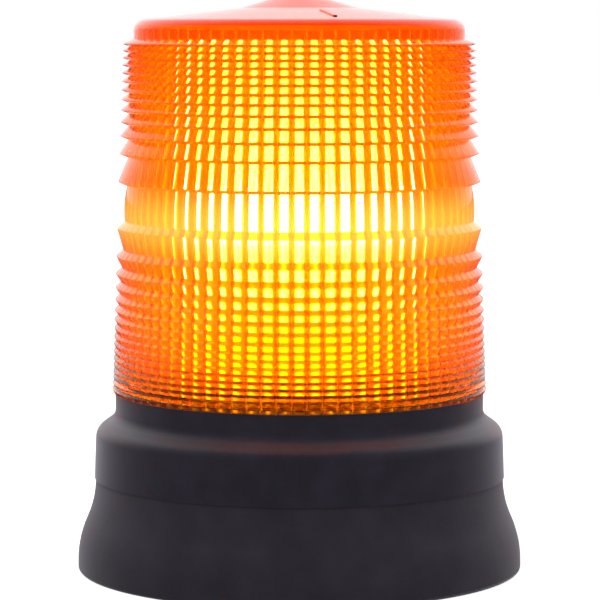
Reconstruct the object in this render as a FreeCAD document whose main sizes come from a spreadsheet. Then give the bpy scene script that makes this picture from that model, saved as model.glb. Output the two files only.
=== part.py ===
"""Battery-powered amber warning light: a black housing in a flared rubber skirt, and a screw-on drum
lens over a flash tube. Millimetres, +Z up, origin on the ground at the centre of the skirt's foot.
The outside is round, so most pieces are turned outlines; the front is towards -Y."""
import FreeCAD, Part

import math
import os

import Sketcher
from FreeCAD import Placement, Rotation, Vector

SIZES = {
    # rubber skirt
    "skirt_flare": 6.1,  # how much wider the foot is than the skirt's top
    "skirt_rim": 3.4,  # rubber at the top, outside the housing's sleeve
    "skirt_wall": 3.4,
    "skirt_toe": 3.2,  # height of the upright edge at the ground
    "skirt_grip": 11.0,  # how far the skirt grips the housing's sleeve
    "foot_thickness": 3.0,  # rubber under the housing
    "foot_hole_gap": 0.5,
    # housing
    "case_room": 26.5,  # from the battery tray's side to the inside of the sleeve
    "deck_room": 3.1,  # from the cells to the deck
    "housing_wall": 2.8,
    "band_lip": 0.4,
    "band_draft": 0.6,
    "band_height": 16.2,
    "shoulder_height": 4.8,
    "shoulder_round": 5.0,
    "shoulder_hollow": 4.0,
    "shoulder_width": 6.6,
    "neck_height": 7.6,
    "neck_wall": 3.1,
    "deck_depth": 13.0,  # deck's top below the neck's top
    "deck_thickness": 3.0,
    "wire_hole_radius": 5.0,
    "ledge_width": 2.5,
    "ledge_thickness": 2.0,
    "boss_inset": 7.7,
    "boss_radius": 5.0,
    # bottom plate, its seal and its screws
    "plate_thickness": 2.5,
    "plate_clearance": 0.3,
    "plate_seal_thickness": 0.8,
    "screw_radius": 2.0,
    "screw_length": 12.0,
    "screw_head_radius": 3.8,
    "screw_head_height": 2.2,
    "fastener_clearance": 0.1,
    "bolt_clearance": 0.8,  # plate's holes round the inserts' bores
    # threaded inserts that the light is bolted down by
    "insert_radius": 4.0,
    "insert_bore_radius": 2.5,
    "insert_length": 14.0,
    # lens seal
    "seal_groove_depth": 1.2,
    "seal_width": 1.4,
    "seal_inset": 0.7,  # groove's edge in from the neck's outside
    "seal_proud": 0.3,
    "seal_clearance": 0.15,
    # screw-on joint of lens and housing
    "spigot_depth": 9.8,
    "spigot_wall": 2.4,
    "thread_height": 1.0,
    "thread_width": 2.4,
    "thread_slope": 0.7,  # height of each flank
    "thread_clearance": 0.2,
    "thread_gap": 0.15,
    "thread_lead": 24.0,
    "thread_starts": 3,
    "thread_arc": 60.0,
    "thread_sink": 0.3,  # how far a thread's root is let into its wall
    # lens
    "lens_overhang": 1.1,
    "lens_flange": 1.6,
    "tip_draft": 2.2,  # how much the tips draw in from the foot to the focus
    "focus_above_foot": 63.0,
    "belt_half_height": 7.7,
    "belt_bulge": 0.5,
    "lowest_tip": 1.1,  # lowest ring's tip above the foot
    "upper_rings": 13,
    "lower_rings": 17,
    "upper_tooth": 3.0,
    "upper_tooth_loss": 0.06,
    "lower_tooth": 2.6,
    "lower_tooth_loss": 0.2,
    "least_tooth": 1.0,
    "upper_undercut": 0.38,
    "lower_undercut": 0.9,
    "upper_round": 0.15,
    "lower_round": 0.3,
    "flutes": 75,
    "flute_depth": 1.1,
    "flute_step": 0.3,  # how far the flutes stand in from the spigot's bore
    "flute_draft": 2.1,
    "ceiling_inset": 2.1,  # ceiling's flat in from the flutes
    "dome_inset": 3.73,
    "dome_ramp": 1.6,
    "dome_side": 2.2,
    "dome_shoulder": 4.0,
    "dome_rise": 4.1,
    "dome_wall": 3.2,
    "crown_radius": 20.0,
    "crown_top_radius": 10.0,
    "crown_round": 6.0,
    "crown_height": 2.9,
    "mark_start": 28.0,
    "mark_length": 16.0,
    "mark_width": 1.6,
    "mark_height": 0.5,
    "mark_angle": -75.0,
    # battery tray and its two cells
    "cell_radius": 16.9,
    "cell_length": 60.0,
    "cell_button_radius": 4.8,
    "cell_button_height": 1.5,
    "cell_gap": 0.4,
    "tray_wall": 1.8,
    "tray_floor": 1.6,
    "tray_height": 24.0,
    "contact_thickness": 0.5,
    "contact_size": 15.0,
    "spring_length": 5.0,
    "spring_height": 13.0,
    "spring_width": 8.0,
    "spring_thickness": 0.6,
    # switch in the bottom plate
    "switch_angle": 240.0,
    "switch_inset": 5.0,
    "switch_size": 11.0,
    "switch_height": 15.0,
    "button_radius": 3.6,
    "button_height": 4.0,
    "button_travel": 1.2,
    "button_clearance": 0.15,
    "bush_wall": 1.0,
    "nut_radius": 6.5,
    "nut_height": 1.2,
    # circuit board and what stands on it
    "board_gap": 9.4,
    "board_hole_radius": 16.5,
    "board_thickness": 1.6,
    "post_height": 4.0,
    "post_radius": 3.2,
    "post_inset": 8.0,
    "board_screw_radius": 1.25,
    "board_screw_length": 5.0,
    "board_head_radius": 2.6,
    "board_head_height": 1.6,
    "capacitor_radius": 6.0,
    "capacitor_length": 30.0,
    "core_length": 17.0,
    "core_width": 13.0,
    "core_height": 11.0,
    "core_leg": 3.2,
    "core_yoke": 2.6,
    "coil_radius": 5.4,
    "trigger_radius": 4.0,
    "trigger_height": 9.0,
    "transistor_width": 10.0,
    "transistor_height": 9.0,
    "transistor_thickness": 4.4,
    "tab_thickness": 1.5,
    "tab_height": 12.0,
    "part_inset": 15.0,
    # lamp
    "pillar_radius": 8.0,
    "pillar_wall": 2.6,
    "pillar_step": 2.0,  # the pillar is this much stouter below the component cover
    "pillar_foot_radius": 15.0,
    "pillar_foot_thickness": 3.0,
    "pillar_screw_circle": 11.5,
    "pillar_flange_radius": 15.0,
    "pillar_flange_thickness": 2.0,
    "shelf_height": 19.5,  # component cover's underside above the deck
    "shelf_gap": 4.4,
    "shelf_thickness": 1.0,
    "shelf_clearance": 0.2,
    "tube_height": 60.0,
    "tube_radius": 3.0,
    "tube_wall": 0.9,
    "tube_spread": 8.5,
    "electrode_length": 9.0,
    "electrode_clearance": 0.1,
    "socket_radius": 19.0,
    "socket_thickness": 5.0,
    "socket_plug_depth": 6.0,
    "cover_radius": 18.0,
    "cover_wall": 1.2,
    "cover_headroom": 5.0,
    "wire_radius": 0.3,
    "hoops": 4,
    "hoop_pitch": 3.5,
    "hoop_width": 0.8,
    # insulated leads
    "lead_radius": 0.9,
    "lead_bend": 2.5,
    "lead_clearance": 0.3,
    "lead_spread": 3.0,
    "lead_reach": 20.0,
    "lead_height": 3.0,  # run of the tube's leads above the board
}

doc = FreeCAD.newDocument("warning_light")
sheet = doc.addObject("Spreadsheet::Sheet", "Sizes")


class Size(float):
    """A number that also carries the spreadsheet expression that gives it."""

    def __new__(cls, value, text):
        made = super().__new__(cls, value)
        made.text = text
        return made

    def __add__(self, other):
        return Size(float(self) + float(other), f"({text(self)} + {text(other)})")

    def __radd__(self, other):
        return Size(float(other) + float(self), f"({text(other)} + {text(self)})")

    def __sub__(self, other):
        return Size(float(self) - float(other), f"({text(self)} - {text(other)})")

    def __rsub__(self, other):
        return Size(float(other) - float(self), f"({text(other)} - {text(self)})")

    def __mul__(self, other):
        return Size(float(self) * float(other), f"({text(self)} * {text(other)})")

    def __rmul__(self, other):
        return Size(float(other) * float(self), f"({text(other)} * {text(self)})")

    def __truediv__(self, other):
        return Size(float(self) / float(other), f"({text(self)} / {text(other)})")

    def __neg__(self):
        return Size(-float(self), f"(0 - {text(self)})")


def text(value):
    return value.text if isinstance(value, Size) else repr(float(value))


class Sizes:
    """The sheet's cells as attributes, each a Size."""


s = Sizes()
for row, (name, value) in enumerate(SIZES.items(), start=1):
    sheet.set(f"A{row}", name)
    sheet.set(f"B{row}", str(value))
    sheet.setAlias(f"B{row}", name)
    setattr(s, name, Size(value, f"Sizes.{name}"))
doc.recompute()

# The battery tray and its cells set the size of the case around them.
PLATE_TOP = s.foot_thickness + s.plate_thickness
TRAY_LENGTH = s.cell_length + s.cell_button_height + s.spring_length + 2 * s.contact_thickness
TRAY_WIDTH = 4 * s.cell_radius + 3 * s.cell_gap
CELL_AXIS = PLATE_TOP + s.tray_floor + s.cell_radius
# Heights that several pieces share.
LEDGE = PLATE_TOP + s.plate_seal_thickness
DECK_UNDERSIDE = CELL_AXIS + s.cell_radius + s.deck_room
DECK_TOP = DECK_UNDERSIDE + s.deck_thickness
NECK_TOP = DECK_TOP + s.deck_depth
SHOULDER_TOP = NECK_TOP - s.neck_height
BAND_TOP = SHOULDER_TOP - s.shoulder_height
BAND_FOOT = BAND_TOP - s.band_height
LENS_FOOT = NECK_TOP + s.seal_proud
FOCUS = LENS_FOOT + s.focus_above_foot
BOARD_TOP = DECK_TOP + s.post_height + s.board_thickness
SHELF = DECK_TOP + s.shelf_height
TUBE_TOP = FOCUS + s.tube_height / 2
SOCKET_TOP = FOCUS - s.tube_height / 2
SOCKET_FOOT = SOCKET_TOP - s.socket_thickness
# Radii that several pieces share, from the tray outwards and then in again.
SLEEVE_BORE = TRAY_WIDTH / 2 + s.tray_wall + s.case_room
SLEEVE_RADIUS = SLEEVE_BORE + s.housing_wall
SKIRT_TOP_RADIUS = SLEEVE_RADIUS + s.skirt_rim
FOOT_RADIUS = SKIRT_TOP_RADIUS + s.skirt_flare
FOOT_HOLE_RADIUS = SLEEVE_BORE + s.foot_hole_gap
BAND_RADIUS = SKIRT_TOP_RADIUS + s.band_lip
BAND_TOP_RADIUS = BAND_RADIUS - s.band_draft
NECK_RADIUS = BAND_TOP_RADIUS - s.shoulder_width
NECK_BORE = NECK_RADIUS - s.neck_wall
GROOVE_OUTER = NECK_RADIUS - s.seal_inset
GROOVE_INNER = GROOVE_OUTER - s.seal_width - 2 * s.seal_clearance
SPIGOT_RADIUS = NECK_BORE - s.thread_height - s.thread_clearance
SPIGOT_BORE = SPIGOT_RADIUS - s.spigot_wall
LENS_FOOT_RADIUS = NECK_RADIUS + s.lens_overhang
BOSS_CIRCLE = SLEEVE_BORE - s.boss_inset
SWITCH_CIRCLE = BOSS_CIRCLE - s.switch_inset
BUSH_RADIUS = s.button_radius + s.button_clearance + s.bush_wall
SHELF_RADIUS = SPIGOT_BORE - s.shelf_gap
BOARD_RADIUS = SPIGOT_BORE - s.board_gap
POST_CIRCLE = BOARD_RADIUS - s.post_inset
PART_CIRCLE = BOARD_RADIUS - s.part_inset
LEAD_PLACE = (TRAY_LENGTH / 2 - s.contact_thickness / 2, s.cell_radius + s.cell_gap / 2)
# Ring tips stand at the square root of belt^2 + n * step^2 from the focus, above and below it.
RING_STEP_SQUARED = (s.focus_above_foot - s.lowest_tip) ** 2 - s.belt_half_height**2
RING_STEP_SQUARED = RING_STEP_SQUARED / (s.lower_rings - 1)
TOP_TIP = FOCUS + math.sqrt(s.belt_half_height**2 + (s.upper_rings - 1) * RING_STEP_SQUARED)
CEILING = TOP_TIP + s.dome_ramp + s.dome_side + s.dome_shoulder - s.dome_wall
NEAR = 0.001  # two lengths this close are the same
# Directions in which the plate's screws and the inserts stand, in degrees from +X.
SCREW_ANGLES = (90, 210, 330)
INSERT_ANGLES = (30, 150, 270)
POST_ANGLES = (45, 135, 225, 315)
PILLAR_ANGLES = (0, 180)


def tie(thing, name, value):
    """Sets a property, and binds it to the sheet where the value comes from there."""
    if isinstance(value, Size):
        thing.setExpression(name, value.text)
    elif "." in name:
        thing.setExpression(name, repr(float(value)))
    else:
        setattr(thing, name, value)


def place(thing, x=0, y=0, z=0, rotation=None):
    if rotation is not None:
        thing.Placement = Placement(Vector(x, y, z), rotation)
    for axis, value in (("x", x), ("y", y), ("z", z)):
        tie(thing, f"Placement.Base.{axis}", value)
    return thing


def polar(radius, angle):
    """Where a point at this radius and angle lies, as two Sizes."""
    x = Size(radius * math.cos(math.radians(angle)), f"({text(radius)} * cos({text(angle)} * 1 deg))")
    y = Size(radius * math.sin(math.radians(angle)), f"({text(radius)} * sin({text(angle)} * 1 deg))")
    return x, y


def cylinder(name, radius, height, x=0, y=0, z=0, rotation=None):
    made = doc.addObject("Part::Cylinder", name)
    tie(made, "Radius", radius)
    tie(made, "Height", height)
    return place(made, x, y, z, rotation)


def box(name, length, width, height, x=0, y=0, z=0, rotation=None):
    made = doc.addObject("Part::Box", name)
    tie(made, "Length", length)
    tie(made, "Width", width)
    tie(made, "Height", height)
    return place(made, x, y, z, rotation)


def fuse(name, *shapes):
    made = doc.addObject("Part::MultiFuse", name)
    made.Shapes = list(shapes)
    return made


def cut(name, base, *tools):
    made = doc.addObject("Part::Cut", name)
    made.Base = base
    made.Tool = tools[0] if len(tools) == 1 else fuse(name + "_tools", *tools)
    return made


def ring(name, outer, inner, height, z=0):
    disc = cylinder(name + "_disc", outer, height, z=z)
    return cut(name, disc, cylinder(name + "_hole", inner, height, z=z))


def plane_of(body, role):
    return next(f for f in body.Origin.OriginFeatures if f.Role == role)


def dimension(sketch, kind, geometry, position, value):
    """Ties one coordinate of a sketch point to the sheet; a zero puts the point on the axis."""
    if float(value) == 0:
        axis = -2 if kind == "DistanceX" else -1
        sketch.addConstraint(Sketcher.Constraint("PointOnObject", geometry, position, axis))
        return
    index = sketch.addConstraint(Sketcher.Constraint(kind, -1, 1, geometry, position, float(value)))
    if isinstance(value, Size):
        sketch.setExpression(f"Constraints[{index}]", value.text)


def draw(sketch, corners, arcs):
    """A closed outline through corners. arcs maps a side's number to the number of its end at which the
    arc is upright: its centre is level with that end."""
    count = len(corners)
    ends = {}
    for i, (x, z) in enumerate(corners):
        start = Vector(x, z, 0)
        end = Vector(*corners[(i + 1) % count], 0)
        ends[i] = (1, 2)
        if i in arcs:
            level = corners[arcs[i]][1]
            middle = (start + end) / 2
            chord = end - start
            centre = Vector(middle.x - (level - middle.y) * chord.y / chord.x, level, 0)
            circle = Part.Circle(centre, Vector(0, 0, 1), centre.distanceToPoint(start))
            from_start, from_end = circle.parameter(start), circle.parameter(end)
            if (start - centre).cross(end - centre).z < 0:
                from_start, from_end = from_end, from_start
                ends[i] = (2, 1)
            sketch.addGeometry(Part.ArcOfCircle(circle, from_start, from_end))
        else:
            sketch.addGeometry(Part.LineSegment(start, end))
    for i in range(count):
        j = (i + 1) % count
        sketch.addConstraint(Sketcher.Constraint("Coincident", i, ends[i][1], j, ends[j][0]))
    for i, (x, z) in enumerate(corners):
        dimension(sketch, "DistanceX", i, ends[i][0], x)
        dimension(sketch, "DistanceY", i, ends[i][0], z)
    for i, corner in arcs.items():
        dimension(sketch, "DistanceY", i, 3, corners[corner][1])


def revolved(name, corners, arcs=None):
    """A body turned about Z from an outline of (radius, height) corners."""
    body = doc.addObject("PartDesign::Body", name)
    sketch = body.newObject("Sketcher::SketchObject", name + "_outline")
    sketch.AttachmentSupport = [(plane_of(body, "XZ_Plane"), "")]
    sketch.MapMode = "FlatFace"
    draw(sketch, corners, arcs or {})
    turn = body.newObject("PartDesign::Revolution", name + "_turn")
    turn.Profile = sketch
    turn.ReferenceAxis = (sketch, ["V_Axis"])
    turn.Angle = 360
    body.Tip = turn
    doc.recompute()
    return body


def round_edges(body, size, *places):
    """Rounds the circular edges that pass through these (radius, height) places."""
    tip = body.Tip
    found = []
    for i, edge in enumerate(tip.Shape.Edges, start=1):
        circle = edge.Curve
        if not isinstance(circle, Part.Circle):
            continue
        for radius, height in places:
            if abs(circle.Radius - radius) < NEAR and abs(circle.Center.z - height) < NEAR:
                found.append(f"Edge{i}")
    fillet = body.newObject("PartDesign::Fillet", body.Name + "_round")
    fillet.Base = (tip, found)
    tie(fillet, "Radius", size)
    body.Tip = fillet
    doc.recompute()
    return body


def group(name, pieces):
    """One node of separate solids."""
    made = doc.addObject("Part::Compound", name)
    made.Links = pieces
    return made


def helix_ridge(radius, section, start, arc):
    """A solid that carries a closed (radius, height) section up a right-handed helix from angle start."""
    rise = s.thread_lead * arc / 360
    spine = Part.Wire(Part.makeHelix(float(s.thread_lead), float(rise), float(radius)))
    corners = [Vector(r, 0, z) for r, z in section]
    outline = Part.makePolygon(corners + corners[:1])
    ridge = spine.makePipeShell([outline], True, True)
    ridge.rotate(Vector(0, 0, 0), Vector(0, 0, 1), start)
    return ridge


def ridges(wall, crest, middle):
    """The starts of one side of the screw joint: wall is the radius they stand on and crest their tips."""
    root = wall + math.copysign(float(s.thread_sink), wall - crest)
    half, slope = s.thread_width / 2, s.thread_slope
    section = [(root, middle - half), (wall, middle - half), (crest, middle - half + slope)]
    section += [(crest, middle + half - slope), (wall, middle + half), (root, middle + half)]
    starts = int(s.thread_starts)
    return [helix_ridge(wall, section, 360 / starts * i, s.thread_arc) for i in range(starts)]


def shaped(name, shape):
    """A piece whose shape is worked out below from the sheet's sizes."""
    made = doc.addObject("Part::Feature", name)
    made.Shape = shape
    return made


# Outer casing -----------------------------------------------------------------------------------------


def skirt():
    toe, top = s.skirt_toe, BAND_FOOT
    half_rise = (top - toe) / 2
    half_flare = (FOOT_RADIUS - SKIRT_TOP_RADIUS) / 2
    waist = (FOOT_RADIUS - half_flare, toe + half_rise)
    grip = top - s.skirt_grip
    corners = [
        (FOOT_HOLE_RADIUS, 0),
        (FOOT_RADIUS, 0),
        (FOOT_RADIUS, toe),
        waist,
        (SKIRT_TOP_RADIUS, top),
        (SLEEVE_RADIUS, top),
        (SLEEVE_RADIUS, grip),
        (FOOT_RADIUS - s.skirt_wall, s.foot_thickness + s.skirt_wall / 2),
        (FOOT_RADIUS - s.skirt_wall, s.foot_thickness),
        (FOOT_HOLE_RADIUS, s.foot_thickness),
    ]
    body = revolved("rubber_skirt", corners, {2: 2, 3: 4})
    return round_edges(body, 0.4 * s.skirt_toe, (FOOT_RADIUS, 0))


def housing():
    band_bore = BAND_TOP_RADIUS - s.housing_wall
    corners = [
        (SLEEVE_BORE, s.foot_thickness),
        (SLEEVE_RADIUS, s.foot_thickness),
        (SLEEVE_RADIUS, BAND_FOOT),
        (BAND_RADIUS, BAND_FOOT),
        (BAND_TOP_RADIUS, BAND_TOP),
        (NECK_RADIUS, SHOULDER_TOP),
        (NECK_RADIUS, NECK_TOP),
        (GROOVE_OUTER, NECK_TOP),
        (GROOVE_OUTER, NECK_TOP - s.seal_groove_depth),
        (GROOVE_INNER, NECK_TOP - s.seal_groove_depth),
        (GROOVE_INNER, NECK_TOP),
        (NECK_BORE, NECK_TOP),
        (NECK_BORE, DECK_TOP),
        (s.wire_hole_radius, DECK_TOP),
        (s.wire_hole_radius, DECK_UNDERSIDE),
        (band_bore, DECK_UNDERSIDE),
        (band_bore, BAND_FOOT + s.housing_wall),
        (SLEEVE_BORE, BAND_FOOT + s.housing_wall),
        (SLEEVE_BORE, LEDGE + s.ledge_thickness),
        (SLEEVE_BORE - s.ledge_width, LEDGE + s.ledge_thickness),
        (SLEEVE_BORE - s.ledge_width, LEDGE),
        (SLEEVE_BORE, LEDGE),
    ]
    body = revolved("housing_shell", corners)
    round_edges(body, s.shoulder_round, (BAND_TOP_RADIUS, BAND_TOP))
    round_edges(body, s.shoulder_hollow, (NECK_RADIUS, SHOULDER_TOP))
    added, removed = [body], []
    boss_height = DECK_UNDERSIDE - PLATE_TOP
    for angle in (*SCREW_ANGLES, *INSERT_ANGLES):
        x, y = polar(BOSS_CIRCLE, angle)
        added.append(cylinder(f"boss_{angle}", s.boss_radius, boss_height, x, y, PLATE_TOP))
    for angle in SCREW_ANGLES:
        x, y = polar(BOSS_CIRCLE, angle)
        hole = s.screw_radius + s.fastener_clearance
        removed.append(cylinder(f"screw_hole_{angle}", hole, s.screw_length, x, y, PLATE_TOP))
    for angle in INSERT_ANGLES:
        x, y = polar(BOSS_CIRCLE, angle)
        size = (s.insert_radius, s.insert_length)
        removed.append(cylinder(f"insert_hole_{angle}", *size, x, y, PLATE_TOP))
    for number, angle in enumerate(POST_ANGLES):
        x, y = polar(POST_CIRCLE, angle)
        added.append(cylinder(f"post_{number}", s.post_radius, s.post_height, x, y, DECK_TOP))
        hole = s.board_screw_radius + s.fastener_clearance
        depth = s.board_screw_length
        removed.append(cylinder(f"post_hole_{number}", hole, depth, x, y, BOARD_TOP - depth))
    for angle in PILLAR_ANGLES:
        x, y = polar(s.pillar_screw_circle, angle)
        hole = s.board_screw_radius + s.fastener_clearance
        removed.append(cylinder(f"pillar_hole_{angle}", hole, s.deck_thickness, x, y, DECK_UNDERSIDE))
    for side in (-1, 1):
        x, y = LEAD_PLACE
        size = (s.lead_radius + s.lead_clearance, s.deck_thickness)
        removed.append(cylinder(f"lead_hole_{side + 1}", *size, x, side * y, DECK_UNDERSIDE))
    middle = NECK_TOP - s.thread_width / 2 - s.thread_lead * s.thread_arc / 360
    for number, ridge in enumerate(ridges(NECK_BORE, NECK_BORE - s.thread_height, middle)):
        added.append(shaped(f"neck_thread_{number}", ridge))
    return cut("base_housing", fuse("housing_solid", *added), *removed)


def plate_and_seal():
    """The bottom plate with its seal, and the fasteners that go through it."""
    radius = SLEEVE_BORE - s.plate_clearance
    plate = cylinder("plate_disc", radius, s.plate_thickness, z=s.foot_thickness)
    holes = []
    for angle in (*SCREW_ANGLES, *INSERT_ANGLES):
        x, y = polar(BOSS_CIRCLE, angle)
        size = s.insert_bore_radius + s.bolt_clearance
        if angle in SCREW_ANGLES:
            size = s.screw_radius + s.fastener_clearance
        holes.append(cylinder(f"plate_hole_{angle}", size, s.plate_thickness, x, y, s.foot_thickness))
    x, y = polar(SWITCH_CIRCLE, s.switch_angle)
    bush = BUSH_RADIUS + s.fastener_clearance
    holes.append(cylinder("plate_hole_switch", bush, s.plate_thickness, x, y, s.foot_thickness))
    bottom = cut("bottom_plate", plate, *holes)
    seal = ring("plate_seal", radius, SLEEVE_BORE - s.ledge_width, s.plate_seal_thickness, PLATE_TOP)
    return [bottom, seal]


def headed_screw(name, radius, length, head_radius, head_height, x, y, z, up):
    """A pan-headed screw whose head bears on height z; it points up or down from there."""
    shank_foot, head_foot = (z, z - head_height) if up else (z - length, z)
    head = cylinder(name + "_head", head_radius, head_height, x, y, head_foot)
    slot = head_height / 2
    slot_foot = head_foot if up else head_foot + slot
    drive = cylinder(name + "_drive", head_radius / 2, slot, x, y, slot_foot)
    shank = cylinder(name + "_shank", radius, length, x, y, shank_foot)
    return cut(name, fuse(name + "_solid", head, shank), drive)


def fasteners():
    plate_screws, inserts, board_screws, pillar_screws = [], [], [], []
    for angle in SCREW_ANGLES:
        x, y = polar(BOSS_CIRCLE, angle)
        sizes = (s.screw_radius, s.screw_length, s.screw_head_radius, s.screw_head_height)
        plate_screws.append(headed_screw(f"plate_screw_{angle}", *sizes, x, y, s.foot_thickness, True))
    for angle in INSERT_ANGLES:
        x, y = polar(BOSS_CIRCLE, angle)
        solid = cylinder(f"insert_{angle}_solid", s.insert_radius, s.insert_length, x, y, PLATE_TOP)
        bore = cylinder(f"insert_{angle}_bore", s.insert_bore_radius, s.insert_length, x, y, PLATE_TOP)
        inserts.append(cut(f"insert_{angle}", solid, bore))
    small = (s.board_screw_radius, s.board_screw_length, s.board_head_radius, s.board_head_height)
    for angle in POST_ANGLES:
        x, y = polar(POST_CIRCLE, angle)
        board_screws.append(headed_screw(f"board_screw_{angle}", *small, x, y, BOARD_TOP, False))
    for angle in PILLAR_ANGLES:
        x, y = polar(s.pillar_screw_circle, angle)
        foot = DECK_TOP + s.pillar_foot_thickness
        pillar_screws.append(headed_screw(f"pillar_screw_{angle}", *small, x, y, foot, False))
    return [
        group("plate_screws", plate_screws),
        group("mounting_inserts", inserts),
        group("board_screws", board_screws),
        group("pillar_screws", pillar_screws),
    ]


# Lens and its seal ------------------------------------------------------------------------------------


def rounded_path(corners):
    """The edges of an open path through (radius, height) corners; a third value rounds that corner."""
    points = [Vector(corner[0], 0, corner[1]) for corner in corners]
    rounds = [float(corner[2]) if len(corner) > 2 else 0 for corner in corners]
    edges, leaving = [], points[0]
    for before, here, after, size in zip(points, points[1:], points[2:], rounds[1:]):
        arriving = leaving
        if not size:
            edges.append(Part.makeLine(arriving, here))
            leaving = here
            continue
        back, on = (before - here).normalize(), (after - here).normalize()
        half_angle = back.getAngle(on) / 2
        trim = size / math.tan(half_angle)
        first, last = here + back * trim, here + on * trim
        centre = here + (back + on).normalize() * (size / math.sin(half_angle))
        middle = centre + (here - centre).normalize() * size
        edges.append(Part.makeLine(arriving, first))
        edges.append(Part.Arc(first, middle, last).toShape())
        leaving = last
    edges.append(Part.makeLine(leaving, points[-1]))
    return edges


def turned_faces(corners):
    return [edge.revolve(Vector(0, 0, 0), Vector(0, 0, 1), 360) for edge in rounded_path(corners)]


def tip_radius(height):
    return LENS_FOOT_RADIUS - s.tip_draft * (height - LENS_FOOT) / s.focus_above_foot


def upper_rings():
    """Corners of the prism rings above the belt, from the top ring down to the belt."""
    corners = []
    for number in reversed(range(int(s.upper_rings))):
        height = FOCUS + math.sqrt(s.belt_half_height**2 + number * RING_STEP_SQUARED)
        tooth = s.upper_tooth - s.upper_tooth_loss * number
        corners.append((tip_radius(height), height, s.upper_round))
        corners.append((tip_radius(height) - tooth, height - s.upper_undercut * tooth))
    return corners


def lower_rings():
    """Corners of the prism rings below the belt, from the belt down to the lens's foot."""
    corners = []
    for number in range(int(s.lower_rings)):
        height = FOCUS - math.sqrt(s.belt_half_height**2 + number * RING_STEP_SQUARED)
        above = FOCUS - math.sqrt(s.belt_half_height**2 + max(number - 1, 0) * RING_STEP_SQUARED)
        tooth = max(float(s.least_tooth), s.lower_tooth - s.lower_tooth_loss * number)
        lip = s.lower_undercut * tooth
        if number:
            lip = min(lip, 0.5 * (above - height))
        corners.append((tip_radius(height) - tooth, height + lip))
        corners.append((tip_radius(height), height, s.lower_round))
    return corners


def belt(top, bottom):
    """The smooth bulging belt between the ring at its top and the ring at its foot, as a short chain."""
    steps = 8
    corners = []
    for i in range(1, steps):
        share = i / steps
        bulge = s.belt_bulge * (1 - (2 * share - 1) ** 2)
        radius = top[0] + (bottom[0] - top[0]) * share + bulge
        corners.append((radius, top[1] + (bottom[1] - top[1]) * share))
    return corners


def flute_outline(radius, height):
    """A ring of scallops, each bowed inwards by the flutes' depth; one faces the front."""
    count = int(s.flutes)
    edges = []
    for i in range(count):
        at = [math.radians(360 / count * (i + share) - 90) for share in (-0.5, 0, 0.5)]
        reach = (radius, radius - s.flute_depth, radius)
        points = [Vector(r * math.cos(a), r * math.sin(a), height) for r, a in zip(reach, at)]
        edges.append(Part.Arc(*points).toShape())
    return Part.Wire(edges)


def circle_outline(radius, height):
    return Part.Wire(Part.makeCircle(radius, Vector(0, 0, height)))


def lens():
    rings = upper_rings()
    lower = lower_rings()
    spigot_foot = LENS_FOOT - s.spigot_depth
    dome_radius = tip_radius(TOP_TIP) - s.dome_inset
    side_foot = TOP_TIP + s.dome_ramp
    side_top = side_foot + s.dome_side
    brow = side_top + s.dome_shoulder
    slope_end = brow + s.dome_rise
    crown = slope_end + s.crown_height
    corners = [(SPIGOT_BORE, LENS_FOOT), (SPIGOT_BORE, spigot_foot)]
    corners += [(SPIGOT_RADIUS, spigot_foot), (SPIGOT_RADIUS, LENS_FOOT)]
    corners += [(lower[-1][0] - s.least_tooth / 2, LENS_FOOT)]
    corners += reversed(rings + belt(rings[-1], lower[0]) + lower)
    corners += [(dome_radius, side_foot), (dome_radius, brow, s.dome_shoulder)]
    corners += [(s.crown_radius, slope_end, s.crown_round), (s.crown_top_radius, crown, s.crown_round)]
    corners += [(0, crown)]
    foot_flutes = flute_outline(SPIGOT_BORE - s.flute_step, LENS_FOOT)
    top_flutes = flute_outline(SPIGOT_BORE - s.flute_step - s.flute_draft, CEILING)
    ceiling_radius = SPIGOT_BORE - s.flute_step - s.flute_draft - s.ceiling_inset
    rise = s.dome_rise * (ceiling_radius - s.crown_radius) / (dome_radius - s.crown_radius)
    vault = [(ceiling_radius, CEILING), (s.crown_radius, CEILING + rise), (0, CEILING + rise)]
    faces = turned_faces(corners) + turned_faces(vault)
    faces += Part.makeLoft([foot_flutes, top_flutes], False, True).Faces
    flat_with_hole = "Part::FaceMakerBullseye"
    faces.append(Part.makeFace([circle_outline(SPIGOT_BORE, LENS_FOOT), foot_flutes], flat_with_hole))
    faces.append(Part.makeFace([top_flutes, circle_outline(ceiling_radius, CEILING)], flat_with_hole))
    skin = Part.makeShell(faces)
    skin.sewShape()
    shell = Part.makeSolid(skin)
    if shell.Volume < 0:
        shell.reverse()
    middle = NECK_TOP - s.thread_width / 2 - s.thread_lead * s.thread_arc / 360
    middle = middle - s.thread_width - s.thread_gap
    shell = shell.fuse(ridges(SPIGOT_RADIUS, SPIGOT_RADIUS + s.thread_height, middle))
    tilt = math.degrees(math.atan2(s.dome_rise, dome_radius - s.crown_radius))
    mark = Part.makeBox(s.mark_length, s.mark_width, 2 * s.mark_height)
    mark.translate(Vector(0, -s.mark_width / 2, -s.mark_height))
    mark.rotate(Vector(0, 0, 0), Vector(0, 1, 0), tilt)
    fall = s.dome_rise * (s.mark_start - s.crown_radius) / (dome_radius - s.crown_radius)
    mark.translate(Vector(s.mark_start, 0, slope_end - fall))
    mark.rotate(Vector(0, 0, 0), Vector(0, 0, 1), s.mark_angle)
    return shaped("lens", shell.fuse(mark))


def lens_seal():
    outer = GROOVE_OUTER - s.seal_clearance
    height = s.seal_groove_depth + s.seal_proud
    return ring("lens_seal", outer, outer - s.seal_width, height, NECK_TOP - s.seal_groove_depth)


# Batteries and switch ---------------------------------------------------------------------------------


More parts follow.
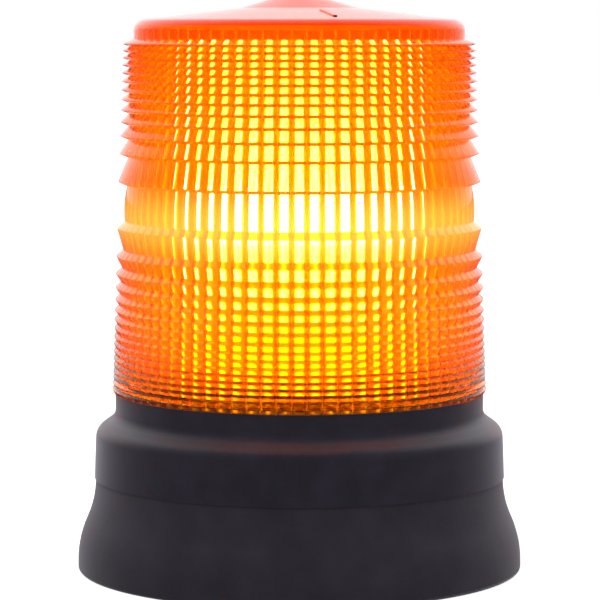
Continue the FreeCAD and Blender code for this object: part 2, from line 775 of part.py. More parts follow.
def bowed_strip(name, face, side, y):
    """A leaf spring: a strip standing on the contact plate at both ends and bowed out to the cell."""
    reach, half = s.spring_length, s.spring_height / 2
    outer = Part.Arc(Vector(0, 0, -half), Vector(reach, 0, 0), Vector(0, 0, half)).toShape()
    thin = s.spring_thickness
    low, high = Vector(0, 0, -half + thin), Vector(0, 0, half - thin)
    inner = Part.Arc(low, Vector(reach - thin, 0, 0), high).toShape()
    feet = [Part.makeLine(Vector(0, 0, -half), low), Part.makeLine(Vector(0, 0, half), high)]
    strip = Part.Face(Part.Wire(Part.__sortEdges__([outer, inner, *feet])))
    solid = strip.extrude(Vector(0, s.spring_width, 0))
    solid.translate(Vector(0, -s.spring_width / 2, 0))
    solid.rotate(Vector(0, 0, 0), Vector(0, 0, 1), 0 if side > 0 else 180)
    solid.translate(Vector(face, y, CELL_AXIS))
    return shaped(name, solid)


def contact(name, x, width, y):
    """An upright contact plate whose face towards -X lies at x."""
    foot = CELL_AXIS - s.contact_size / 2
    return box(name, s.contact_thickness, width, s.contact_size, x, y - width / 2, foot)


def supply_leads():
    """The two leads from the contacts straight up through the deck to the circuit board."""
    foot = CELL_AXIS + s.contact_size / 2
    length = BOARD_TOP - s.board_thickness - foot
    x, y = LEAD_PLACE
    red = cylinder("supply_lead_red", s.lead_radius, length, x, y, foot)
    return [red, cylinder("supply_lead_black", s.lead_radius, length, x, -y, foot)]


def battery_pieces():
    """The tray on the bottom plate with two cells side by side, their plates and springs."""
    length, width = TRAY_LENGTH + 2 * s.tray_wall, TRAY_WIDTH + 2 * s.tray_wall
    block = box("tray_block", length, width, s.tray_height, -length / 2, -width / 2, PLATE_TOP)
    length, width, floor = TRAY_LENGTH, TRAY_WIDTH, PLATE_TOP + s.tray_floor
    space = box("tray_space", length, width, s.tray_height, -length / 2, -width / 2, floor)
    tray = cut("battery_tray", block, space)
    middle = CELL_AXIS
    cells, plates, springs = [], [], []
    for number, side in enumerate((-1, 1)):
        y = side * (s.cell_radius + s.cell_gap / 2)
        along = Rotation(Vector(0, 1, 0), side * 90)
        spring_face = -side * (TRAY_LENGTH / 2 - s.contact_thickness)
        cell_foot = spring_face + side * s.spring_length
        can = cylinder(f"cell_{number}_can", s.cell_radius, s.cell_length, cell_foot, y, middle, along)
        far = cell_foot + side * s.cell_length
        cap_size = (s.cell_button_radius, s.cell_button_height)
        cap = cylinder(f"cell_{number}_cap", *cap_size, far, y, middle, along)
        cells.append(fuse(f"cell_{number}", can, cap))
        plate_place = TRAY_LENGTH / 2 - s.contact_thickness
        plates.append(contact(f"plate_{number}", plate_place, s.contact_size, y))
        springs.append(bowed_strip(f"spring_{number}", spring_face, side, y))
    bridge = 2 * s.cell_radius + s.cell_gap + s.contact_size
    plates.append(contact("plate_bridge", -TRAY_LENGTH / 2, bridge, 0))
    return [
        tray,
        group("battery_cells", cells),
        group("contact_plates", plates),
        group("contact_springs", springs),
    ]


def switch_pieces():
    x, y = polar(SWITCH_CIRCLE, s.switch_angle)
    bush_foot = s.foot_thickness - s.nut_height
    button_foot = bush_foot - s.button_travel
    depth = button_foot + s.button_height + s.button_travel + s.button_clearance - bush_foot
    half = s.switch_size / 2
    size = s.switch_size
    block = box("switch_block", size, size, s.switch_height, x - half, y - half, PLATE_TOP)
    bush = cylinder("switch_bush", BUSH_RADIUS, PLATE_TOP - bush_foot, x, y, bush_foot)
    bore = cylinder("switch_bore", s.button_radius + s.button_clearance, depth, x, y, bush_foot)
    body = cut("switch_body", fuse("switch_solid", block, bush), bore)
    button = cylinder("switch_button", s.button_radius, s.button_height, x, y, button_foot)
    hexagon = doc.addObject("Part::Prism", "nut_hexagon")
    hexagon.Polygon = 6
    tie(hexagon, "Circumradius", s.nut_radius)
    tie(hexagon, "Height", s.nut_height)
    place(hexagon, x, y, bush_foot)
    hole = cylinder("nut_hole", BUSH_RADIUS, s.nut_height, x, y, bush_foot)
    return [body, button, cut("switch_nut", hexagon, hole)]


# Electronics on the deck ------------------------------------------------------------------------------


def board_pieces():
    board_foot = BOARD_TOP - s.board_thickness
    disc = cylinder("board_disc", BOARD_RADIUS, s.board_thickness, z=board_foot)
    holes = [cylinder("board_middle", s.board_hole_radius, s.board_thickness, z=board_foot)]
    for angle in POST_ANGLES:
        x, y = polar(POST_CIRCLE, angle)
        size = s.board_screw_radius + s.fastener_clearance
        holes.append(cylinder(f"board_hole_{angle}", size, s.board_thickness, x, y, board_foot))
    board = cut("circuit_board", disc, *holes)
    out = PART_CIRCLE
    half = s.capacitor_length / 2
    capacitor_place = (-half, out, BOARD_TOP + s.capacitor_radius, Rotation(Vector(0, 1, 0), 90))
    capacitor = cylinder("main_capacitor", s.capacitor_radius, s.capacitor_length, *capacitor_place)
    length, width, height, leg = s.core_length, s.core_width, s.core_height, s.core_leg
    yoke = s.core_yoke
    block = box("core_block", length, width, height, -out - length / 2, -width / 2, BOARD_TOP)
    gap, opening, foot = length - 2 * yoke, height - 2 * yoke, BOARD_TOP + yoke
    window = box("core_window", gap, width, opening, -out - gap / 2, -width / 2, foot)
    post = cylinder("core_post", leg, opening, -out, 0, foot)
    core = fuse("transformer_core", cut("core_frame", block, window), post)
    wound = cylinder("coil_wound", s.coil_radius, opening, -out, 0, foot)
    middle = cylinder("coil_middle", leg, opening, -out, 0, foot)
    winding = cut("transformer_winding", wound, middle)
    trigger = cylinder("trigger_coil", s.trigger_radius, s.trigger_height, out, 0, BOARD_TOP)
    wide, thick = s.transistor_width, s.transistor_thickness
    package = box("transistor_package", wide, thick, s.transistor_height, -wide / 2, -out, BOARD_TOP)
    tab = box("transistor_tab", wide, s.tab_thickness, s.tab_height, -wide / 2, -out + thick, BOARD_TOP)
    transistor = fuse("power_transistor", package, tab)
    return [board, capacitor, core, winding, trigger, transistor]


# Lamp -------------------------------------------------------------------------------------------------


def pillar():
    stout = s.pillar_radius + s.pillar_step
    foot_top = DECK_TOP + s.pillar_foot_thickness
    flange_foot = SOCKET_FOOT - s.pillar_flange_thickness
    bore = s.pillar_radius - s.pillar_wall
    corners = [
        (bore, DECK_TOP),
        (s.pillar_foot_radius, DECK_TOP),
        (s.pillar_foot_radius, foot_top),
        (stout, foot_top),
        (stout, SHELF),
        (s.pillar_radius, SHELF),
        (s.pillar_radius, flange_foot),
        (s.pillar_flange_radius, flange_foot),
        (s.pillar_flange_radius, SOCKET_FOOT),
        (bore, SOCKET_FOOT),
    ]
    body = revolved("pillar_turned", corners)
    holes = []
    for angle in PILLAR_ANGLES:
        x, y = polar(s.pillar_screw_circle, angle)
        size = s.board_screw_radius + s.fastener_clearance
        depth = s.pillar_foot_thickness
        holes.append(cylinder(f"pillar_foot_hole_{angle}", size, depth, x, y, DECK_TOP))
        head = s.board_head_radius + s.shelf_clearance
        clear = SHELF - foot_top - s.pillar_step
        holes.append(cylinder(f"pillar_head_room_{angle}", head, clear, x, y, foot_top))
    for side in (-1, 1):
        hole = s.lead_radius + s.lead_clearance
        outwards = Rotation(Vector(1, 0, 0), -side * 90)
        run = BOARD_TOP + s.lead_height
        holes.append(cylinder(f"pillar_lead_hole_{side + 1}", hole, stout, 0, 0, run, outwards))
    return cut("lamp_pillar", body, *holes)


def bent_tube(name, radius):
    """Two legs up from the socket joined by a half ring: a U of round section."""
    bend = TUBE_TOP - s.tube_radius - s.tube_spread
    height = bend - SOCKET_TOP
    legs = []
    for side in (-1, 1):
        x = side * s.tube_spread
        legs.append(cylinder(f"{name}_leg_{side + 1}", radius, height, x, 0, SOCKET_TOP))
    arch = doc.addObject("Part::Torus", name + "_arch")
    tie(arch, "Radius1", s.tube_spread)
    tie(arch, "Radius2", radius)
    tie(arch, "Angle3", 180.0)
    place(arch, 0, 0, bend, Rotation(Vector(1, 0, 0), 90))
    return fuse(name, *legs, arch)


def tube_leads():
    """Two leads from the circuit board into the pillar and up its bore to the socket."""
    run = BOARD_TOP + s.lead_height
    top = SOCKET_FOOT - s.socket_plug_depth
    corners = [(s.lead_spread, top), (s.lead_spread, run, s.lead_bend), (s.lead_reach, run, s.lead_bend)]
    corners.append((s.lead_reach, BOARD_TOP))
    leads = []
    for side in (-1, 1):
        start = Part.Wire(Part.makeCircle(s.lead_radius, Vector(s.lead_spread, 0, top), Vector(0, 0, 1)))
        lead = Part.Wire(rounded_path(corners)).makePipeShell([start], True, True)
        lead.rotate(Vector(0, 0, 0), Vector(0, 0, 1), side * 90)
        leads.append(shaped(f"tube_lead_{side + 1}", lead))
    return group("tube_leads", leads)


def domed(name, radius, height, dome):
    """An upright cylinder on the socket with its top edge rounded by dome."""
    top = SOCKET_TOP + height
    body = revolved(name, [(0, SOCKET_TOP), (radius, SOCKET_TOP), (radius, top), (0, top)])
    return round_edges(body, dome, (radius, top))


def lamp_pieces():
    shelf_hole = s.pillar_radius + s.shelf_clearance
    shelf = ring("component_cover", SHELF_RADIUS, shelf_hole, s.shelf_thickness, SHELF)
    plug_radius, plug_foot = s.pillar_radius - s.pillar_wall, SOCKET_FOOT - s.socket_plug_depth
    plug = cylinder("socket_plug", plug_radius, s.socket_plug_depth, z=plug_foot)
    disc = cylinder("socket_disc", s.socket_radius, s.socket_thickness, z=SOCKET_FOOT)
    socket = fuse("tube_socket", disc, plug)
    tube_bore = bent_tube("tube_bore", s.tube_radius - s.tube_wall)
    tube = cut("flash_tube", bent_tube("tube_outside", s.tube_radius), tube_bore)
    rods = []
    rod = s.tube_radius - s.tube_wall - s.electrode_clearance
    for side in (-1, 1):
        x = side * s.tube_spread
        rods.append(cylinder(f"electrode_{side + 1}", rod, s.electrode_length, x, 0, SOCKET_TOP))
    electrodes = group("tube_electrodes", rods)
    around = s.tube_radius + s.wire_radius
    riser_height = s.hoop_pitch * s.hoops + s.hoop_width
    riser = cylinder("trigger_riser", s.wire_radius, riser_height, -s.tube_spread, -around, SOCKET_TOP)
    hoops = []
    for turn in range(1, int(s.hoops) + 1):
        foot = SOCKET_TOP + s.hoop_pitch * turn
        hoop = ring(f"trigger_hoop_{turn}", around, s.tube_radius, s.hoop_width)
        hoops.append(place(hoop, -s.tube_spread, 0, foot))
    wire = fuse("trigger_wire", riser, *hoops)
    height = TUBE_TOP + s.cover_headroom - SOCKET_TOP
    dome = s.cover_radius / 2
    outer = domed("cover_outer", s.cover_radius, height, dome)
    wall = s.cover_wall
    inner = domed("cover_inner", s.cover_radius - wall, height - wall, dome - wall)
    cover = cut("tube_cover", outer, inner)
    return [shelf, socket, tube, electrodes, wire, cover, tube_leads()]


# Assembly ---------------------------------------------------------------------------------------------

pieces = [skirt(), housing(), lens(), lens_seal(), pillar()]
pieces += plate_and_seal()
pieces += fasteners()
pieces += battery_pieces()
pieces += supply_leads()
pieces += switch_pieces()
pieces += board_pieces()
pieces += lamp_pieces()
doc.recompute()

for thing in doc.Objects:
    if "Invalid" in thing.State or "Error" in thing.State:
        raise RuntimeError(f"{thing.Name} failed: {thing.State}")
os.makedirs("parts", exist_ok=True)
for piece in pieces:
    if piece.Shape.isNull() or not piece.Shape.isValid():
        raise RuntimeError(f"{piece.Label} has no valid shape")
    piece.Shape.exportStep(f"parts/{piece.Label}.step")
    print(piece.Label, len(piece.Shape.Solids), round(piece.Shape.Volume, 1))
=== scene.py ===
"""Looks of a battery-powered amber warning light: a screw-on drum lens over a lit flash tube, on a black
housing in a flared rubber skirt. Metres, +Z up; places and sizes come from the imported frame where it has
them."""

import math

import bmesh
import bpy
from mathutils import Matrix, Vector


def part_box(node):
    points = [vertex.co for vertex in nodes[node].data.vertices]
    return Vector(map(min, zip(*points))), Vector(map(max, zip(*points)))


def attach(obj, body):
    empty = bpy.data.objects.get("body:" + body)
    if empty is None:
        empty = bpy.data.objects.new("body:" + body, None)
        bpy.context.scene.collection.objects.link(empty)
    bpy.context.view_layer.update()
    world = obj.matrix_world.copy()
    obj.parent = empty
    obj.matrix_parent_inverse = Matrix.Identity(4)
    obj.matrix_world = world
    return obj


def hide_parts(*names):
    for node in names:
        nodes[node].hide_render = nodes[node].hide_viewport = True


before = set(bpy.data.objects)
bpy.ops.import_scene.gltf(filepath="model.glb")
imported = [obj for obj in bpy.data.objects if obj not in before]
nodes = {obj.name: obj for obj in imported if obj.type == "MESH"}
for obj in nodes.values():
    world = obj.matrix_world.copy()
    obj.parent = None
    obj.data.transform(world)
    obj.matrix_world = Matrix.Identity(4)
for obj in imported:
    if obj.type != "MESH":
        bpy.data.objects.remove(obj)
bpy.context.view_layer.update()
MM = 0.001
scene = bpy.context.scene

# Camera: level with the dome and looking slightly down, from far enough for a long lens.
CAMERA_DISTANCE = 980 * MM
CAMERA_HEIGHT = 185 * MM
CAMERA_PITCH = 5.487
CAMERA_SIDE = 0.2 * MM
FOCAL_LENGTH = 175.0


def make_camera():
    data = bpy.data.cameras.new("camera")
    data.lens = FOCAL_LENGTH
    data.sensor_width = 36.0
    data.clip_start, data.clip_end = 0.05, 20
    camera = bpy.data.objects.new("camera", data)
    camera.location = (CAMERA_SIDE, -CAMERA_DISTANCE, CAMERA_HEIGHT)
    camera.rotation_euler = (math.radians(90 - CAMERA_PITCH), 0, 0)
    scene.collection.objects.link(camera)
    scene.camera = camera


make_camera()

# Materials --------------------------------------------------------------------------------------------

# The lens: tints of its clear surfaces, its softer flutes, its thick dome and its haze, and of its shine.
LENS_TINT, DEEP_TINT, DOME_TINT, HAZE_TINT = "#fd8903", "#fd8900", "#f93000", "#ff6100"
SHINE_TINT = "#ff9530"
SOFT_SHARE, WIDE_SHARE, HAZE_SHARE = 0.6, 0.25, 0.05
SOFT_ROUGHNESS, WIDE_ROUGHNESS = 0.3, 0.5

# The lamp. A pair of glows runs from the coolest place to the hottest; a reach is the half-height of a glow.
LAMP_WHITE = "#fff4e0"
TUBE_GLOW, TUBE_REACH = (15.0, 300.0), 30.0 * MM
# The pillar's and the socket's glows are painted light, standing for the tube's light on them.
PILLAR_GLOW, SOCKET_GLOW = (1.5, 5.0), 8.0
COVER_ROUGHNESS = 0.45
ARC_HEIGHT = 119.5 * MM
# The arc's band on the cover and the flare on the lens's belt are painted glows, not lamps.
ARC_BLUE, ARC_GLOW, ARC_REACH = "#040aff", 8000.0, 3.5 * MM  # blue, as the amber takes most of it away
FLARE_TINT, FLARE_GLOW, FLARE_REACH = "#ffed6c", 0.35, 14.0 * MM


def colour(hex_text):
    """An sRGB hex value as linear RGBA."""
    channels = [int(hex_text[i : i + 2], 16) / 255 for i in (1, 3, 5)]
    return (*[c / 12.92 if c <= 0.04045 else ((c + 0.055) / 1.055) ** 2.4 for c in channels], 1.0)


def add(tree, kind, inputs=None, **settings):
    """Adds a node with its settings, and sets or links its inputs."""
    node = tree.nodes.new("ShaderNode" + kind)
    for name, value in settings.items():
        setattr(node, name, value)
    for socket, value in (inputs or {}).items():
        if isinstance(value, bpy.types.NodeSocket):
            tree.links.new(value, node.inputs[socket])
        else:
            node.inputs[socket].default_value = value
    return node


def blank(name):
    """A new material with an empty node tree."""
    made = bpy.data.materials.new(name)
    made.use_nodes = True
    made.node_tree.nodes.clear()
    return made, made.node_tree


def principled(name, inputs):
    """A new material of one Principled shader with these inputs."""
    made, tree = blank(name)
    shader = add(tree, "BsdfPrincipled", inputs)
    add(tree, "OutputMaterial", {"Surface": shader.outputs["BSDF"]})
    return made, tree, shader


def surface(tree):
    """The socket that a material's last shader goes into."""
    return next(node for node in tree.nodes if node.type == "OUTPUT_MATERIAL").inputs["Surface"]


def height_of(tree):
    """The height of the shaded place on its object."""
    place = add(tree, "TexCoord")
    return add(tree, "SeparateXYZ", {0: place.outputs["Object"]}).outputs["Z"]


def grain(tree, shader, size_mm, depth_mm):
    """Presses a grain of this size and depth into the surface. Real grain is finer: it is drawn at 0.3 to
    0.7 mm, so that it shows."""
    place = add(tree, "TexCoord").outputs["Object"]
    noise = add(tree, "TexNoise", {"Vector": place, "Scale": 1 / (size_mm * MM), "Detail": 2.0})
    bump = add(tree, "Bump", {"Height": noise.outputs["Fac"], "Distance": depth_mm * MM, "Strength": 1.0})
    tree.links.new(bump.outputs["Normal"], shader.inputs["Normal"])


def mottle(tree, shader, light, dark, size_mm):
    """Varies the colour softly between two tones, in clouds of this size."""
    place = add(tree, "TexCoord").outputs["Object"]
    noise = add(tree, "TexNoise", {"Vector": place, "Scale": 1 / (size_mm * MM), "Detail": 3.0})
    ramp = add(tree, "ValToRGB", {"Fac": noise.outputs["Fac"]})
    for stop, position, tone in zip(ramp.color_ramp.elements, (0.35, 0.65), (dark, light)):
        stop.position = position
        stop.color = colour(tone)
    tree.links.new(ramp.outputs["Color"], shader.inputs["Base Color"])


def moulded_abs():
    """Black ABS from a spark-eroded mould: an even satin that lightens where it is seen edge-on."""
    inputs = {"Roughness": 0.42, "IOR": 1.52, "Specular IOR Level": 0.35}
    inputs.update({"Sheen Weight": 0.9, "Sheen Roughness": 0.35, "Sheen Tint": colour("#f7f0ff")})
    made, tree, shader = principled("moulded_abs", inputs)
    mottle(tree, shader, "#262230", "#211d29", 9.0)
    grain(tree, shader, 0.45, 0.02)
    return made


def moulded_epdm():
    """Carbon-black EPDM rubber, pressed in a matt mould: a faint bloom makes it greyer than the ABS."""
    inputs = {"Roughness": 0.6, "IOR": 1.5, "Specular IOR Level": 0.35}
    inputs.update({"Sheen Weight": 0.55, "Sheen Roughness": 0.4, "Sheen Tint": colour("#f9f1ff")})
    made, tree, shader = principled("moulded_epdm", inputs)
    mottle(tree, shader, "#2b2733", "#25212c", 14.0)
    grain(tree, shader, 0.7, 0.03)
    return made


def plain(name, hex_text, roughness, metallic=0.0, size_mm=0.5, depth_mm=0.01, **more):
    """A moulded, turned or plated finish with a fine grain."""
    inputs = {"Base Color": colour(hex_text), "Roughness": roughness, "Metallic": metallic}
    inputs.update({key.replace("_", " "): value for key, value in more.items()})
    made, tree, shader = principled(name, inputs)
    grain(tree, shader, size_mm, depth_mm)
    return made


def polycarbonate(tint, roughness):
    """What all the lens's surfaces share, with this tint and roughness."""
    inputs = {"Base Color": colour(tint), "Specular Tint": colour(SHINE_TINT), "Roughness": roughness}
    return {**inputs, "IOR": 1.585, "Transmission Weight": 1.0}


def near_arc(tree, reach):
    """1 at the height of the arc's hottest part, falling to 0 this far above and below it."""
    off = add(tree, "Math", {0: height_of(tree), 1: ARC_HEIGHT}, operation="SUBTRACT").outputs[0]
    away = add(tree, "Math", {0: off}, operation="ABSOLUTE").outputs[0]
    fade = {"Value": away, "From Min": reach, "From Max": 0.0}
    return add(tree, "MapRange", fade, interpolation_type="SMOOTHSTEP").outputs[0]


def amber_polycarbonate():
    """Injection-moulded polycarbonate dyed through: clear, deep amber where light crosses it twice. A faint
    painted glow on the belt stands for the flare of the arc behind it."""
    made, tree, shader = principled("amber_polycarbonate", polycarbonate(LENS_TINT, 0.03))
    # Painted glow: emission on the lens's belt, strongest at the arc's height, stands for the arc's flare.
    flare = add(tree, "Math", {0: near_arc(tree, FLARE_REACH), 1: FLARE_GLOW}, operation="MULTIPLY")
    tree.links.new(flare.outputs[0], shader.inputs["Emission Strength"])
    shader.inputs["Emission Color"].default_value = colour(FLARE_TINT)
    return made


def thick_polycarbonate():
    """The dome of the same moulding: thicker, so redder, and smooth enough to carry a pale sheen edge-on."""
    sheen = {"Coat Weight": 0.45, "Coat IOR": 1.5, "Coat Roughness": 0.1}
    return principled("thick_polycarbonate", {**polycarbonate(DOME_TINT, 0.05), **sheen})[0]


def fluted_polycarbonate():
    """The inside of the same moulding: its flutes are less polished, so they throw the lamp's light into a
    hot line, a soft patch round it and a faint glow of the whole wall."""
    made, tree, clear = principled("fluted_polycarbonate", polycarbonate(LENS_TINT, 0.06))
    soft = add(tree, "BsdfPrincipled", polycarbonate(DEEP_TINT, SOFT_ROUGHNESS))
    wide = add(tree, "BsdfPrincipled", polycarbonate(DEEP_TINT, WIDE_ROUGHNESS))
    haze = add(tree, "BsdfTranslucent", {"Color": colour(HAZE_TINT)})
    shader = clear
    for share, lobe in ((SOFT_SHARE, soft), (WIDE_SHARE, wide), (HAZE_SHARE, haze)):
        shader = add(tree, "MixShader", {0: share, 1: shader.outputs[0], 2: lobe.outputs[0]})
    tree.links.new(shader.outputs[0], surface(tree))
    return made


def pass_light(made):
    """Lets the lamp's light through this material, so that it casts no shadow inside the lens."""
    tree = made.node_tree
    solid = surface(tree).links[0].from_socket
    shadow = add(tree, "LightPath").outputs["Is Shadow Ray"]
    clear = add(tree, "BsdfTransparent").outputs[0]
    shown = add(tree, "MixShader", {0: shadow, 1: solid, 2: clear})
    tree.links.new(shown.outputs[0], surface(tree))
    return made


def etched_glass():
    """The cover over the tube: blown glass, lightly etched inside. The arc is hottest half-way up the tube,
    so a band of the etched face there carries a painted glow that stands for the arc's light."""
    inputs = {"Base Color": colour("#ffffff"), "IOR": 1.47, "Transmission Weight": 1.0}
    made, tree, shader = principled("etched_glass", {**inputs, "Roughness": COVER_ROUGHNESS})
    light = add(tree, "Emission", {"Color": colour(ARC_BLUE), "Strength": ARC_GLOW}).outputs[0]
    band = add(tree, "MixShader", {0: near_arc(tree, ARC_REACH), 1: shader.outputs[0], 2: light})
    tree.links.new(band.outputs[0], surface(tree))
    made.cycles.emission_sampling = "NONE"  # the tube inside stands for its light
    return pass_light(made)


def opal_pbt_painted_glow():
    """Unfilled PBT, moulded thick and opal, with a painted glow that stands for the tube's light running down
    inside it: brightest at the top and fading towards the foot.
    """
    made, tree, shader = principled("opal_pbt_painted_glow", {"Base Color": colour("#e8e6de"), "Roughness": 0.4})
    foot, top = (corner.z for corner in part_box("lamp_pillar"))
    reach = {"Value": height_of(tree), "From Min": foot, "From Max": top}
    reach.update({"To Min": PILLAR_GLOW[0], "To Max": PILLAR_GLOW[1]})
    glow = add(tree, "MapRange", reach)
    tree.links.new(glow.outputs[0], shader.inputs["Emission Strength"])
    shader.inputs["Emission Color"].default_value = colour(LAMP_WHITE)
    return made


def lit_steatite():
    """Pressed and fired steatite, dry and chalky, round the foot of the lit tube; it is bright from an even
    painted glow that stands for the tube's light on it.
    """
    glow = {"Emission_Color": colour(LAMP_WHITE), "Emission_Strength": SOCKET_GLOW}
    return plain("pressed_steatite_painted_glow", "#e6e1d4", 0.45, **glow)


def lit_xenon():
    """The flash tube while it is lit: the glowing gas fills the quartz, hottest half-way up."""
    made, tree = blank("lit_xenon")
    cool, hot = (add(tree, "Emission", {"Color": colour(LAMP_WHITE), "Strength": glow}) for glow in TUBE_GLOW)
    gas = add(tree, "MixShader", {0: near_arc(tree, TUBE_REACH), 1: cool.outputs[0], 2: hot.outputs[0]})
    add(tree, "OutputMaterial", {"Surface": gas.outputs[0]})
    return pass_light(made)


# Lens -------------------------------------------------------------------------------------------------

# The lens's own sizes; its foot and top come from the frame.
LENS_FOOT_RADIUS = 63.2 * MM
SPIGOT_RADIUS, SPIGOT_DEPTH, SPIGOT_BORE = 57.8 * MM, 9.8 * MM, 55.4 * MM
THREAD_HEIGHT, THREAD_WIDTH, THREAD_SLOPE = 1.0 * MM, 2.4 * MM, 0.7 * MM
THREAD_STARTS, THREAD_ARC, THREAD_LEAD, THREAD_SINK = 3, 60, 24 * MM, 0.3 * MM
THREAD_BELOW_FOOT = 8.05 * MM
FOCUS_ABOVE_FOOT = 63.0 * MM
TIP_DRAFT = 2.2 * MM
BELT_HALF_HEIGHT, BELT_BULGE = 7.7 * MM, 0.5 * MM
RING_STEP = 15.36 * MM
UPPER_RINGS, LOWER_RINGS = 13, 17
UPPER_TOOTH, UPPER_TOOTH_LOSS = 3.0 * MM, 0.06 * MM
LOWER_TOOTH, LOWER_TOOTH_LOSS, LEAST_TOOTH = 2.6 * MM, 0.2 * MM, 1.0 * MM
UPPER_UNDERCUT, LOWER_UNDERCUT = 0.38, 0.9
UPPER_ROUND, LOWER_ROUND = 0.15 * MM, 0.3 * MM
DOME_RAMP, DOME_SIDE, DOME_SHOULDER, DOME_RISE = 1.6 * MM, 2.2 * MM, 4.0 * MM, 4.1 * MM
DOME_RADIUS, DOME_WALL, CEILING_INSET = 55.39 * MM, 3.2 * MM, 2.1 * MM
CROWN_RADIUS, CROWN_TOP_RADIUS, CROWN_HEIGHT, CROWN_ROUND = 20.0 * MM, 10.0 * MM, 2.9 * MM, 6.0 * MM
MARK_START, MARK_LENGTH, MARK_WIDTH, MARK_HEIGHT, MARK_ANGLE = 28 * MM, 16 * MM, 1.6 * MM, 0.5 * MM, -75
FLUTES, COLUMNS_PER_FLUTE = 75, 8
FLUTE_DEPTH, FLUTE_STEP, FLUTE_DRAFT = 1.1 * MM, 0.3 * MM, 2.1 * MM
FLUTE_POWER = 2.7  # above 2, a flute is flatter across its middle and steeper at its edges
WALL_LEVELS, BELT_STEPS, SHOULDER_STEPS, CROWN_STEPS, MARK_STEPS, THREAD_STEPS = 10, 12, 8, 5, 6, 15
DOME_FINISH_STEP = 3  # steps of the shoulder's curve that keep the drum's finish
COLUMNS = FLUTES * COLUMNS_PER_FLUTE
FIRST_ANGLE = -math.pi / 2 - math.pi / FLUTES  # a flute's middle faces the front
DRUM, FLUTED, DOME = 0, 1, 2  # the lens's material slots

lens_low, lens_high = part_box("lens")
lens_foot = lens_low.z + SPIGOT_DEPTH
focus = lens_foot + FOCUS_ABOVE_FOOT


def ring_height(number):
    """How far from the focus a ring's tip stands."""
    return math.sqrt(BELT_HALF_HEIGHT**2 + number * RING_STEP**2)


def tip_radius(height):
    """Radius of the drum over the ring tips: it narrows a little from foot to top."""
    return LENS_FOOT_RADIUS - TIP_DRAFT * (height - lens_foot) / FOCUS_ABOVE_FOOT


def arc(centre, radius, start, end, steps):
    """Points of an arc in the (radius, height) plane, angles in degrees."""
    angles = [math.radians(start + (end - start) * i / steps) for i in range(steps + 1)]
    return [(centre[0] + radius * math.cos(a), centre[1] + radius * math.sin(a)) for a in angles]


def rounded(before, corner, after, radius, steps=3):
    """The corner of a path as a tangent arc of this radius."""
    corner, before, after = Vector(corner), Vector(before), Vector(after)
    back, on = (before - corner).normalized(), (after - corner).normalized()
    half = back.angle(on) / 2
    centre = corner + (back + on).normalized() * (radius / math.sin(half))
    first = corner + back * (radius / math.tan(half)) - centre
    last = corner + on * (radius / math.tan(half)) - centre
    points = []
    for i in range(steps + 1):
        share = i / steps
        points.append(tuple(centre + first.lerp(last, share).normalized() * radius))
    return points


class LensPath:
    """The turned outline of the lens as rows of (radius, height), with the rows that are sharp creases."""

    def __init__(self):
        self.rows = []
        self.creases = set()
        self.dome_start = 0

    def to(self, radius, height, crease=True):
        if crease:
            self.creases.add(len(self.rows))
        self.rows.append((radius, height))

    def smooth(self, points):
        for radius, height in points:
            self.to(radius, height, crease=False)


def prism_corners():
    """Corners of both sets of rings from the foot of the lens up, each with the radius that rounds it."""
    lower = []
    for number in range(LOWER_RINGS):
        height = focus - ring_height(number)
        above = focus - ring_height(max(number - 1, 0))
        tooth = max(LEAST_TOOTH, LOWER_TOOTH - LOWER_TOOTH_LOSS * number)
        lip = LOWER_UNDERCUT * tooth
        if number:
            lip = min(lip, 0.5 * (above - height))
        lower.append((tip_radius(height) - tooth, height + lip, 0))
        lower.append((tip_radius(height), height, LOWER_ROUND))
    upper = []
    for number in range(UPPER_RINGS):
        height = focus + ring_height(number)
        tooth = UPPER_TOOTH - UPPER_TOOTH_LOSS * number
        upper.append((tip_radius(height) - tooth, height - UPPER_UNDERCUT * tooth, 0))
        upper.append((tip_radius(height), height, UPPER_ROUND))
    return lower[::-1], upper


def outer_path():
    """From the spigot's bore round its foot and up the outside to the middle of the dome."""
    lower, upper = prism_corners()
    path = LensPath()
    path.to(SPIGOT_BORE, lens_foot)
    path.to(SPIGOT_BORE, lens_foot - SPIGOT_DEPTH)
    path.to(SPIGOT_RADIUS, lens_foot - SPIGOT_DEPTH)
    path.to(SPIGOT_RADIUS, lens_foot)
    path.to(lower[0][0] - LEAST_TOOTH / 2, lens_foot)
    chain = [(lower[0][0] - LEAST_TOOTH / 2, lens_foot, 0)] + lower
    belt_foot, belt_top = lower[-1], upper[0]
    belt = []
    for i in range(1, BELT_STEPS):
        share = i / BELT_STEPS
        bulge = BELT_BULGE * (1 - (2 * share - 1) ** 2)
        radius = belt_foot[0] + (belt_top[0] - belt_foot[0]) * share + bulge
        belt.append((radius, belt_foot[1] + (belt_top[1] - belt_foot[1]) * share))
    side_foot = upper[-1][1] + DOME_RAMP
    for before, corner, after in zip(chain, chain[1:], chain[2:] + [(*belt[0], 0)]):
        place(path, before, corner, after)
    path.smooth(belt)
    chain = [(*belt[-1], 0)] + upper + [(DOME_RADIUS, side_foot, 0)]
    for before, corner, after in zip(chain, chain[1:], chain[2:]):
        place(path, before, corner, after)
    path.to(DOME_RADIUS, side_foot)
    dome(path, side_foot + DOME_SIDE)
    return path


def place(path, before, corner, after):
    """One corner of the rings, rounded where it has a radius."""
    if corner[2]:
        path.smooth(rounded(before[:2], corner[:2], after[:2], corner[2]))
    else:
        path.to(corner[0], corner[1])


